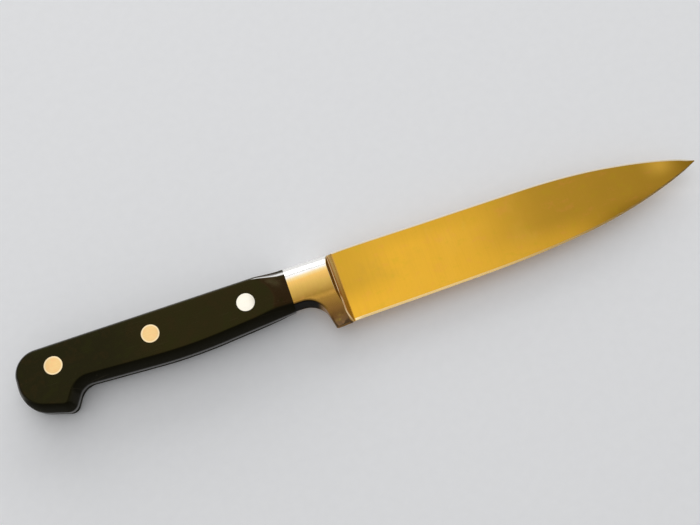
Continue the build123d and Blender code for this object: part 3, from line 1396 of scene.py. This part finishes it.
def rivet_metal():
    """Rivet heads: bright metal ground flush, with painted reflections that are warm at the rear and
    white at the front, and a painted highlight round each rim.
    """
    finish = Finish("rivet_metal")
    place = finish.place()
    x, y, _ = finish.parts(place)
    belt = finish.streaks(place, (200.0, 7000.0, 200.0), detail=3.0, roughness=0.6, spin=12.0)
    blush = finish.noise(place, scale=500.0, detail=2.0, roughness=0.5)
    from_joint = (x - joint_x) / MM
    pitch = rivet_setbacks["middle"] - rivet_setbacks["front"]
    turn = (from_joint + rivet_setbacks["front"]) / pitch
    beside = (turn - turn.math("ROUND")) * pitch
    up = (y - rivet_y) / MM
    radius = (beside * beside + up * up) ** 0.5
    # Painted reflections, warm on the rear heads and white on the front one, and a painted highlight
    # ring at each rim
    base = finish.layered(
        finish.mix(belt, warm_dull, warm_pale),
        [
            (blush.above(0.45, 0.25) * 0.5, warm_rose),
            (radius.above(rivet_head_radius - 0.70, 0.30), rim_highlight),
            (from_joint.above(-25.0, 5.0), finish.mix(belt, white_dull, white_pale)),
            (radius.above(rivet_head_radius - 0.14, 0.06), gap_dark),
        ],
    )
    return finish.wear(
        Base_Color=base,
        Metallic=1.0,
        Roughness=0.26 + belt * 0.12,
        Normal=finish.bump(belt, 0.12),
    )


def build_knife():
    """All nine pieces of the knife."""
    steels = [
        make() for make in (ground_steel, whetted_steel, polished_steel, tang_steel, front_steel)
    ]
    plastic, metal = scale_plastic(), rivet_metal()
    points, faces = forging_mesh()
    plate, plate_faces = tang_mesh()
    start = len(points)
    faces += [(tuple(start + i for i in face), brushed) for face, _ in plate_faces]
    make_piece("forging", points + plate, faces, steels, ["forged_blade"])
    points, faces = scale_mesh()
    make_piece("upper_scale", points, faces, [plastic], ["right_scale"])
    make_piece("lower_scale", mirrored(points), faces, [plastic], ["left_scale"])
    for name, setback in rivet_setbacks.items():
        for half, profile in (("sleeve", sleeve_profile()), ("post", post_profile())):
            points, faces = turned(profile, -setback)
            make_piece(
                f"{name}_{half}", points, faces, [metal], [f"{name}_rivet_{half}"]
            )


# Camera: placed in millimetres from the front rivet on the middle plane, turned in degrees
camera_from_rivet = Vector((3.04, -95.27, 331.86))
camera_turn = (17.457, 0.172, -18.931)
lens_pixels = 1072.0
frame_pixels = 700.0
film_width = 36.0

# Lamps: where they hang and how large they are, in metres, and their power in watts
window_place = (0.48, 1.62, 0.62)
window_size = (3.0, 1.2)
window_power = 20.0
overhead_place = (-0.335, 0.4, 1.3)
overhead_size = (1.53, 1.6)
overhead_power = 4.8
sky_strength = 0.45
floor_half = 3.0


def place_camera():
    """The camera at the photograph's angle."""
    camera = bpy.data.cameras.new("camera")
    camera.sensor_width = film_width
    camera.lens = film_width * lens_pixels / frame_pixels
    camera.clip_start = 10 * MM
    holder = bpy.data.objects.new("camera", camera)
    bpy.context.scene.collection.objects.link(holder)
    rivet = datum - Vector((rivet_setbacks["front"] * MM, 0.0, 0.0))
    holder.location = rivet + camera_from_rivet * MM
    holder.rotation_euler = Euler([math.radians(angle) for angle in camera_turn])
    bpy.context.scene.camera = holder


def soft_box(name, place, aim, size, power):
    """A soft lamp with a flat oblong face of that size."""
    lamp = bpy.data.lights.new(name, "AREA")
    lamp.shape = "RECTANGLE"
    lamp.size, lamp.size_y = size
    lamp.energy = power
    holder = bpy.data.objects.new(name, lamp)
    bpy.context.scene.collection.objects.link(holder)
    holder.location = place
    holder.rotation_euler = (Vector(aim) - Vector(place)).to_track_quat("-Z", "Y").to_euler()


def light_studio():
    """A pale floor under a plain soft sky, a large lamp on the spine's side, one overhead."""
    world = bpy.data.worlds.new("studio")
    bpy.context.scene.world = world
    world.use_nodes = True
    background = world.node_tree.nodes["Background"]
    background.inputs["Color"].default_value = (1.0, 1.0, 1.0, 1.0)
    background.inputs["Strength"].default_value = sky_strength
    soft_box("window", window_place, (0.0, 0.0, 0.0), window_size, window_power)
    soft_box("overhead", overhead_place, (*overhead_place[:2], 0.0), overhead_size, overhead_power)

    mesh = bpy.data.meshes.new("floor")
    corners = [(-1, -1), (1, -1), (1, 1), (-1, 1)]
    mesh.from_pydata([(x * floor_half, y * floor_half, 0.0) for x, y in corners], [], [(0, 1, 2, 3)])
    floor = bpy.data.objects.new("floor", mesh)
    bpy.context.scene.collection.objects.link(floor)
    paper = Finish("paper")
    grain = paper.noise(paper.place(), scale=300.0, detail=3.0, roughness=0.6)
    tone = paper.mix(grain, paper_dull, paper_pale)
    mesh.materials.append(paper.wear(Base_Color=tone, Roughness=0.9, Specular_IOR_Level=0.2))


build_knife()
place_camera()
light_studio()
bpy.context.scene.view_settings.view_transform = "Standard"
